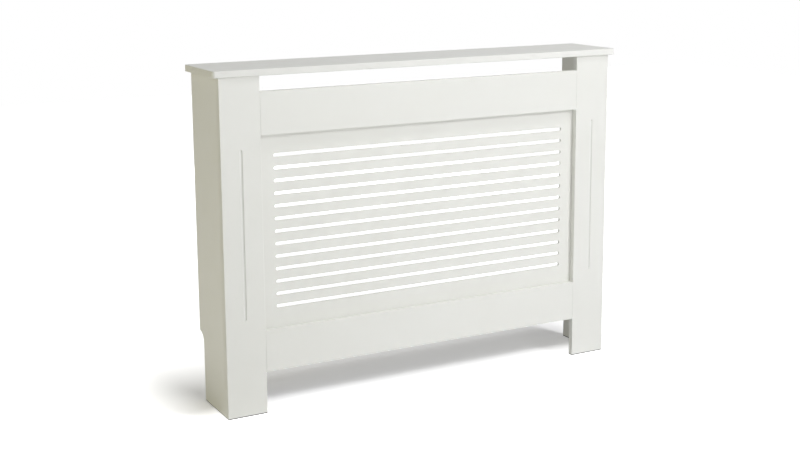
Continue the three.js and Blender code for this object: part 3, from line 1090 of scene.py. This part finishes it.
def screw_tree(sizes):
    """A screw about Z: the underside of its head at Z = 0, its thread and point below."""
    tree, given = start_tree("screw", sizes)
    radius, length, pitch = given["Radius"], given["Length"], given["Thread pitch"]
    head, height = given["Head radius"], given["Head height"]
    core = calculate(tree, "SUBTRACT", radius, calculate(tree, "MULTIPLY", pitch, THREAD_DEPTH_SHARE))
    point = calculate(tree, "MULTIPLY", core, SCREW_POINT_SHARE)
    bottom = calculate(tree, "MULTIPLY", length, -1)
    tip_top = calculate(tree, "ADD", bottom, given["Tip length"])
    shaft = turned(tree, [(point, bottom), (core, tip_top), (core, 0)])
    dome = [(head, 0)]
    for step in range(DOME_STEPS):
        turn = math.radians(90) * step / (DOME_STEPS - 1)
        wide = max(math.cos(turn), 0) ** DOME_FULLNESS + DOME_MIDDLE
        rise = DOME_FOOT + (1 - DOME_FOOT) * math.sin(turn)
        dome.append((
            calculate(tree, "MULTIPLY", head, wide),
            calculate(tree, "MULTIPLY", height, rise),
        ))
    sunk = calculate(tree, "MULTIPLY", given["Cross depth"], 2)
    top = vector(tree, z=height)
    recess = [
        block(tree, vector(tree, head, given["Cross width"], sunk), top),
        block(tree, vector(tree, given["Cross width"], head, sunk), top),
    ]
    wound = calculate(tree, "SUBTRACT", calculate(tree, "MULTIPLY", tip_top, -1), pitch)
    start = calculate(tree, "MULTIPLY", radius, SCREW_START_SHARE)
    parts = [
        shaft,
        hollowed(tree, turned(tree, dome), recess),
        thread(tree, start, radius, pitch, bottom, given["Tip length"]),
        thread(tree, radius, radius, pitch, tip_top, wound),
    ]
    stand_on_points(tree, given, joined(tree, parts))
    return tree


def screw_sizes(radius, length, head_radius):
    return {
        "Radius": radius,
        "Length": length,
        "Tip length": SCREW_TIP,
        "Thread pitch": SCREW_PITCH,
        "Head radius": head_radius,
        "Head height": SCREW_HEAD_HEIGHT,
        "Cross width": SCREW_CROSS_WIDTH,
        "Cross depth": SCREW_CROSS_DEPTH,
        "Material": bolt_sizes["Material"],
    }


screw_nodes = nodes_with("grille_screw")
screw_places = []
for node in screw_nodes:
    low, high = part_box(node)
    middle = (low + high) / 2
    seat = (middle.x, high.y - SCREW_HEAD_HEIGHT, middle.z)
    screw_places.append((seat, (0, 1, 0), (1, 0, 1)))
sizes = screw_sizes(GRILLE_SCREW_RADIUS, GRILLE_SCREW_LENGTH, GRILLE_SCREW_HEAD)
wood_screw_tree = screw_tree(sizes)
finish_fasteners(
    "grille_wood_screws",
    screw_places,
    wood_screw_tree,
    sizes,
    screw_nodes,
)

screw_nodes = nodes_with("bracket_screw")
screw_places = []
for node in screw_nodes:
    low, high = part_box(node)
    middle = (low + high) / 2
    inward = -1 if middle.x > 0 else 1
    head_x = low.x if inward < 0 else high.x
    seat = (head_x - inward * SCREW_HEAD_HEIGHT, middle.y, middle.z)
    screw_places.append((seat, (inward, 0, 0), (0, 1, 1)))
finish_fasteners(
    "bracket_wood_screws",
    screw_places,
    wood_screw_tree,
    screw_sizes(BRACKET_SCREW_RADIUS, BRACKET_SCREW_LENGTH, BRACKET_SCREW_HEAD),
    screw_nodes,
)


# ---------------------------------------------------------------- floor and backdrop
#
# The studio ground: a plain pale floor that keeps the cabinet's shadow. Seen directly, it glows only
# dimly in a box under and behind the cabinet, a painted shade that deepens the shadow there. Towards
# its edges, and from a hand's breadth round the cabinet, the glow runs out to the same white as the
# backdrop.

FLOOR_HALF = 6.0
FLOOR_DROP = 0.3 * MM
FLOOR_COLOUR = (0.94, 0.94, 0.96, 1)
PAINTED_SHADE_LIFT = 0.2
SHADE_HALF_WIDTH = 541.5 * MM
SHADE_FRONT = 20 * MM
SHADE_REAR = 130 * MM
SIDE_REACH = 160 * MM
FRONT_REACH = 80 * MM
REAR_REACH = 300 * MM
WHITE = (1, 1, 1, 1)
AMBIENT_STRENGTH = 0.15
BACKDROP_STRENGTH = 1


def seen_directly(tree):
    """1 for camera, glossy and transmission rays, and 0 for the light that the surfaces trade."""
    path = add_node(tree, "ShaderNodeLightPath").outputs
    mirrored = calculate(tree, "MAXIMUM", path["Is Glossy Ray"], path["Is Transmission Ray"])
    return calculate(tree, "MAXIMUM", path["Is Camera Ray"], mirrored)


floor_paint, tree, surface = start_material("studio_floor")
tree.nodes.remove(surface)
place = add_node(tree, "ShaderNodeTexCoord").outputs["Object"]
across, along, _ = add_node(tree, "ShaderNodeSeparateXYZ", {"Vector": place}).outputs
beside = calculate(tree, "SUBTRACT", calculate(tree, "ABSOLUTE", across, 0), SHADE_HALF_WIDTH)
before = calculate(tree, "SUBTRACT", SHADE_FRONT, along)
behind = calculate(tree, "SUBTRACT", along, SHADE_REAR)
outside = vector(
    tree,
    calculate(tree, "DIVIDE", beside, SIDE_REACH),
    calculate(tree, "DIVIDE", before, FRONT_REACH),
    calculate(tree, "DIVIDE", behind, REAR_REACH),
)
positive = add_node(
    tree,
    "ShaderNodeVectorMath",
    {0: outside, 1: (0, 0, 0)},
    operation="MAXIMUM",
).outputs["Vector"]
distance = add_node(tree, "ShaderNodeVectorMath", {0: positive}, operation="LENGTH").outputs["Value"]
# Painted shade: the glow seen directly is lowest in the box under and behind the cabinet and rises to
# white past the reaches.
whiteness = add_node(tree, "ShaderNodeMapRange", {"Value": distance, "To Min": PAINTED_SHADE_LIFT})
strength = calculate(tree, "MULTIPLY", seen_directly(tree), whiteness.outputs["Result"])
matt = add_node(tree, "ShaderNodeBsdfDiffuse", {"Color": FLOOR_COLOUR})
lift = add_node(tree, "ShaderNodeEmission", {"Strength": strength})
ground = add_node(
    tree,
    "ShaderNodeAddShader",
    {0: matt.outputs["BSDF"], 1: lift.outputs["Emission"]},
)
feed(tree, tree.nodes["Material Output"].inputs["Surface"], ground.outputs["Shader"])

shape = bmesh.new()
bmesh.ops.create_grid(shape, x_segments=1, y_segments=1, size=FLOOR_HALF)
floor = show_shape("floor", shape)
floor.data.materials.append(floor_paint)
floor.location.z = -FLOOR_DROP

world = bpy.data.worlds.new("studio")
world.use_nodes = True
bpy.context.scene.world = world
tree = world.node_tree
dim = tree.nodes["Background"]
feed(tree, dim.inputs["Color"], WHITE)
feed(tree, dim.inputs["Strength"], AMBIENT_STRENGTH)
bright = add_node(tree, "ShaderNodeBackground", {"Color": WHITE, "Strength": BACKDROP_STRENGTH})
backdrop = add_node(
    tree,
    "ShaderNodeMixShader",
    {0: seen_directly(tree), 1: dim.outputs["Background"], 2: bright.outputs["Background"]},
)
feed(tree, tree.nodes["World Output"].inputs["Surface"], backdrop.outputs["Shader"])


# ---------------------------------------------------------------- lamps
#
# Soft studio light: two keys from above at the right in front, fills in front, at both sides and
# behind, and a warm reflector close to the left side.

LAMP_WHITE = (1, 1, 1)
GREENISH_WHITE = (0.97, 1, 0.93)
OCHRE = (0.95, 0.76, 0)


def soft_box(name, place, aim, size, power, colour=LAMP_WHITE):
    """A rectangular lamp that faces a point."""
    lamp = bpy.data.lights.new(name, "AREA")
    lamp.shape = "RECTANGLE"
    lamp.size, lamp.size_y = size
    lamp.energy = power
    lamp.color = colour
    holder = bpy.data.objects.new(name, lamp)
    holder.location = place
    holder.rotation_euler = (Vector(aim) - Vector(place)).to_track_quat("-Z", "Y").to_euler()
    bpy.context.scene.collection.objects.link(holder)


soft_box("key", place=(1.3, -2.2, 2.05), aim=(0, 0, 0.4), size=(0.6, 0.5), power=26.5)
soft_box("high_key", place=(1.0, -1.3, 3.2), aim=(0.1, 0, 0.5), size=(0.6, 0.4), power=23)
soft_box("front_fill", place=(0.8, -3.0, 0.6), aim=(0, 0, 0.4), size=(1.4, 1.0), power=15.2)
soft_box("right_fill", place=(3.2, -0.8, 1.3), aim=(0.4, 0, 0.5), size=(1.4, 1.6), power=1.5)
soft_box(
    "left_fill",
    place=(-2.8, -2.2, 1.95),
    aim=(-0.3, 0, 0.4),
    size=(1.4, 1.4),
    power=17.7,
    colour=GREENISH_WHITE,
)
soft_box(
    "left_reflector",
    place=(-2.6, 0.1, 0.9),
    aim=(-0.5, 0, 0.4),
    size=(1.2, 1.6),
    power=4.6,
    colour=OCHRE,
)
soft_box("back_fill", place=(1.5, 2.8, 0.42), aim=(0, 0, 0.4), size=(2.0, 0.6), power=19)


# ---------------------------------------------------------------- camera
#
# A lens of about 59 mm at the left in front of the cabinet and 1.1 m above the floor. It looks
# slightly down, and a small lens shift keeps the boards' upright edges close to parallel.

CAMERA_TARGET = Vector((-0.03366, 0, 0.53727))
CAMERA_DISTANCE = 3.27277
CAMERA_TURN = -0.49124
CAMERA_RISE = 0.18042
CAMERA_ROLL = -0.00606
CAMERA_LENS = 58.52
CAMERA_SENSOR = 36
CAMERA_SHIFT = -0.08
CAMERA_NEAR = 0.1
CAMERA_FAR = 50

back = Vector((
    math.sin(CAMERA_TURN) * math.cos(CAMERA_RISE),
    -math.cos(CAMERA_TURN) * math.cos(CAMERA_RISE),
    math.sin(CAMERA_RISE),
))
lens = bpy.data.cameras.new("camera")
lens.lens = CAMERA_LENS
lens.sensor_width = CAMERA_SENSOR
lens.shift_y = CAMERA_SHIFT
lens.clip_start = CAMERA_NEAR
lens.clip_end = CAMERA_FAR
camera = bpy.data.objects.new("camera", lens)
level = (-back).cross(Vector((0, 0, 1))).normalized()
upright = level.cross(-back)
across = level * math.cos(CAMERA_ROLL) + upright * math.sin(CAMERA_ROLL)
above = upright * math.cos(CAMERA_ROLL) - level * math.sin(CAMERA_ROLL)
turn = Matrix((across, above, back)).transposed().to_4x4()
camera.matrix_world = Matrix.Translation(CAMERA_TARGET + back * CAMERA_DISTANCE) @ turn
bpy.context.scene.collection.objects.link(camera)
bpy.context.scene.camera = camera
bpy.context.scene.view_settings.view_transform = "Standard"
